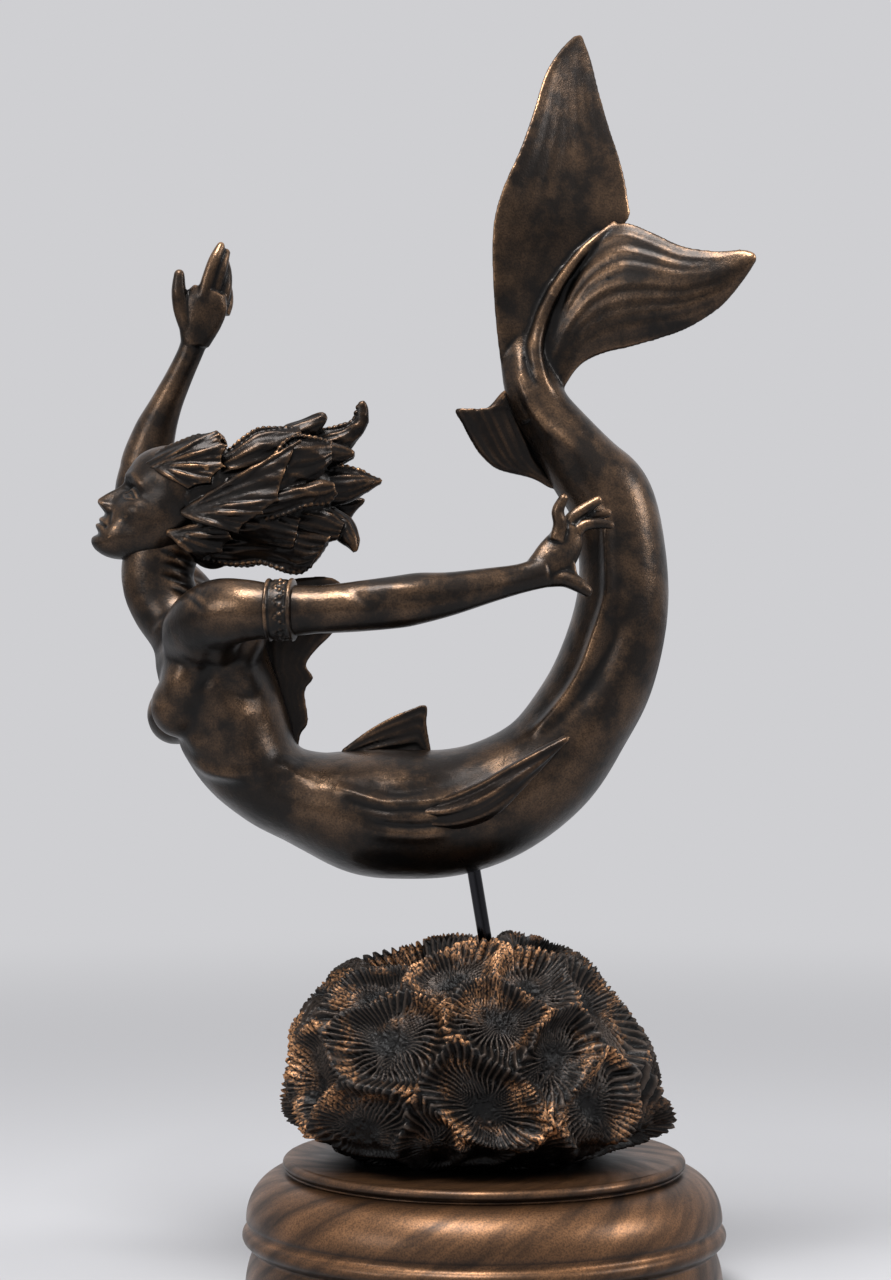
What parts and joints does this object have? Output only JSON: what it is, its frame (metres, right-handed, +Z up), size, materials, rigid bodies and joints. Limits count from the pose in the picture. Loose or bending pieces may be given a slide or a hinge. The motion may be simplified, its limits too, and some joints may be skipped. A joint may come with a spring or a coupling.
{
  "type": "mermaid figurine",
  "caption": "Bronze-finished mermaid swimming in a curve, one arm raised, held by a leaning rod over a coral rock on a round moulded plinth.",
  "frame": {"origin": "centre of the plinth's flat underside", "axes": "+Z up, +X towards the side that the tail curls up on, -Y towards the side that the raised far arm is furthest from"},
  "size_m": [0.263, 0.1922, 0.5059],
  "materials": {
    "figure": "dark brown bronze patina, rubbed back to copper on the raised forms",
    "coral": "near-black patina with the ridge crests rubbed copper",
    "plinth": "brown bronze patina, smooth, rubbed brighter on the rolled mouldings",
    "rod": "dark polished steel"
  },
  "bodies": {
    "root": {"mermaid_figure": "figure", "coral_rock": "coral", "plinth": "plinth", "support_rod": "rod"}
  },
  "joints": []
}
